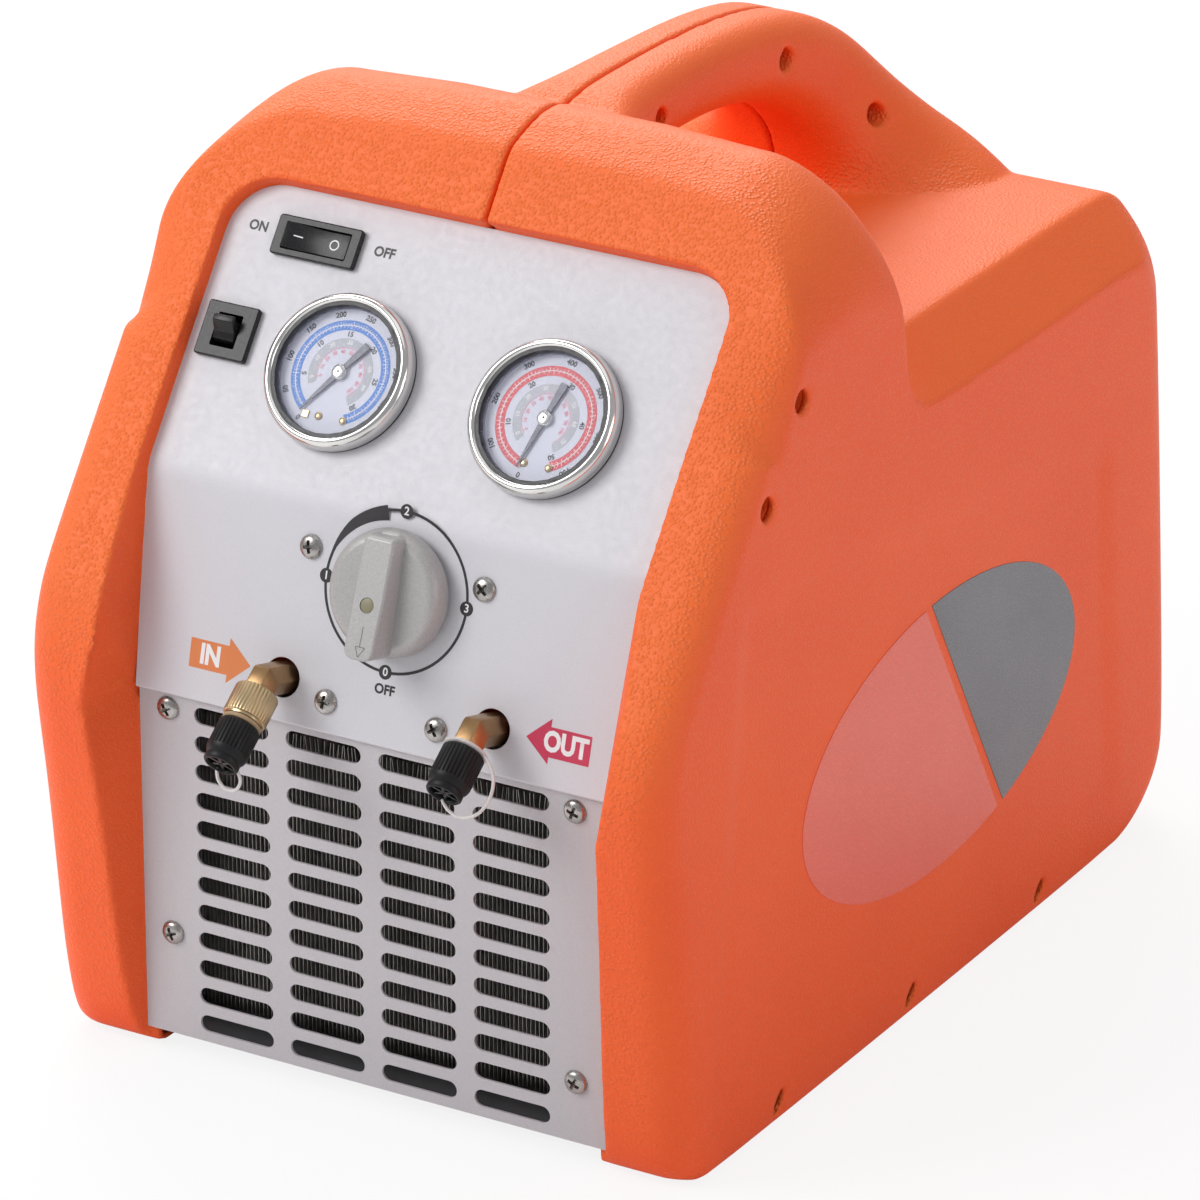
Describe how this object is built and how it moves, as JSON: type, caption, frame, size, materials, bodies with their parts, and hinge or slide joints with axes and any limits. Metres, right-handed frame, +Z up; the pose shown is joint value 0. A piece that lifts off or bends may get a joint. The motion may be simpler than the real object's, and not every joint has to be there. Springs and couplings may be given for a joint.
{
  "type": "refrigerant recovery machine",
  "caption": "Portable refrigerant recovery machine: two orange half shells with an arched handle, silver front with two gauges, selector knob, capped ports and a slotted grille.",
  "frame": {"origin": "centre of the bounding box's bottom face, on the floor", "axes": "+Z up, front with gauges and knob faces -Y, +X to the viewer's right"},
  "size_m": [0.251, 0.4002, 0.3265],
  "materials": {
    "aluminium": "cast",
    "black_metal": "satin black",
    "black_plastic": "fine grain",
    "brass": "machined",
    "clear_strap": "translucent",
    "copper": "drawn copper",
    "fin_black": "coated",
    "glass": "clear",
    "knob_grey": "satin",
    "orange_plastic": "pebble grain",
    "polished_steel": "polished",
    "silver_sheet": "satin silver",
    "steel": "satin",
    "tan_rubber": "matte",
    "white_dial": "printed"
  },
  "bodies": {
    "housing": {"breaker_body": "black_plastic", "chassis_tray": "steel", "compressor_base": "black_metal", "compressor_crankcase": "aluminium", "compressor_head": "aluminium", "compressor_motor": "black_metal", "condenser_coil": "copper", "condenser_fins": "fin_black", "control_panel": "silver_sheet", "discharge_pipe": "copper", "fan_bracket": "steel", "fan_motor": "steel", "fan_shroud": "aluminium", "grille_panel": "silver_sheet", "grille_screw_1": "polished_steel", "grille_screw_2": "polished_steel", "grille_screw_3": "polished_steel", "grille_screw_4": "polished_steel", "handle_screw_1": "polished_steel", "handle_screw_2": "polished_steel", "high_gauge_bezel": "polished_steel", "high_gauge_case": "black_metal", "high_gauge_dial": "white_dial", "high_gauge_lens": "glass", "inlet_elbow": "brass", "inlet_pipe": "copper", "inlet_washer": "tan_rubber", "left_shell": "orange_plastic", "low_gauge_bezel": "polished_steel", "low_gauge_case": "black_metal", "low_gauge_dial": "white_dial", "low_gauge_lens": "glass", "outlet_elbow": "brass", "outlet_pipe": "copper", "outlet_strap": "clear_strap", "panel_screw_1": "polished_steel", "panel_screw_2": "polished_steel", "panel_screw_3": "polished_steel", "panel_screw_4": "polished_steel", "power_inlet": "black_plastic", "rear_panel": "silver_sheet", "right_shell": "orange_plastic", "run_capacitor": "aluminium", "suction_pipe": "copper", "switch_bezel": "black_plastic", "valve_block": "brass"},
    "selector": {"knob": "knob_grey", "valve_stem": "steel"},
    "rocker": {"switch_rocker": "black_plastic"},
    "toggle": {"breaker_toggle": "black_plastic"},
    "low_pointer": {"low_gauge_pointer": "black_plastic"},
    "high_pointer": {"high_gauge_pointer": "black_plastic"},
    "fan_wheel": {"fan": "black_plastic"},
    "collar": {"inlet_collar": "brass"},
    "inlet_cap_body": {"inlet_cap": "black_plastic"},
    "outlet_cap_body": {"outlet_cap": "black_plastic"}
  },
  "joints": [
    {"name": "knob_turn", "type": "hinge", "parent": "housing", "child": "selector", "pos_m": [0.0038, -0.14786, 0.18846], "axis": [0, 0.9632, -0.2689], "range_deg": [0, 270]},
    {"name": "rocker_tilt", "type": "hinge", "parent": "housing", "child": "rocker", "pos_m": [-0.0617, -0.09003, 0.28057], "axis": [0, -0.6018, -0.7986], "range_deg": [0, 14]},
    {"name": "toggle_tilt", "type": "hinge", "parent": "housing", "child": "toggle", "pos_m": [-0.084, -0.11052, 0.25005], "axis": [-1, 0, 0], "range_deg": [0, 20]},
    {"name": "low_pointer_sweep", "type": "hinge", "parent": "housing", "child": "low_pointer", "pos_m": [-0.0365, -0.11501, 0.24642], "axis": [0, 0.7986, -0.6018], "range_deg": [0, 280], "stiffness_Nm_per_rad": 0.0001},
    {"name": "high_pointer_sweep", "type": "hinge", "parent": "housing", "child": "high_pointer", "pos_m": [0.0435, -0.11501, 0.24642], "axis": [0, 0.7986, -0.6018], "range_deg": [0, 300], "stiffness_Nm_per_rad": 0.0001},
    {"name": "fan_spin", "type": "hinge", "parent": "housing", "child": "fan_wheel", "pos_m": [0, -0.10386, 0.074], "axis": [0, 1, 0], "continuous": true},
    {"name": "collar_turn", "type": "hinge", "parent": "housing", "child": "collar", "pos_m": [-0.0354, -0.16902, 0.15543], "axis": [0, -0.809, -0.5878], "continuous": true},
    {"name": "inlet_cap_lift", "type": "slide", "parent": "housing", "child": "inlet_cap_body", "axis": [0, -0.809, -0.5878], "range_m": [0, 0.03]},
    {"name": "outlet_cap_lift", "type": "slide", "parent": "housing", "child": "outlet_cap_body", "axis": [0, -0.809, -0.5878], "range_m": [0, 0.03]}
  ]
}
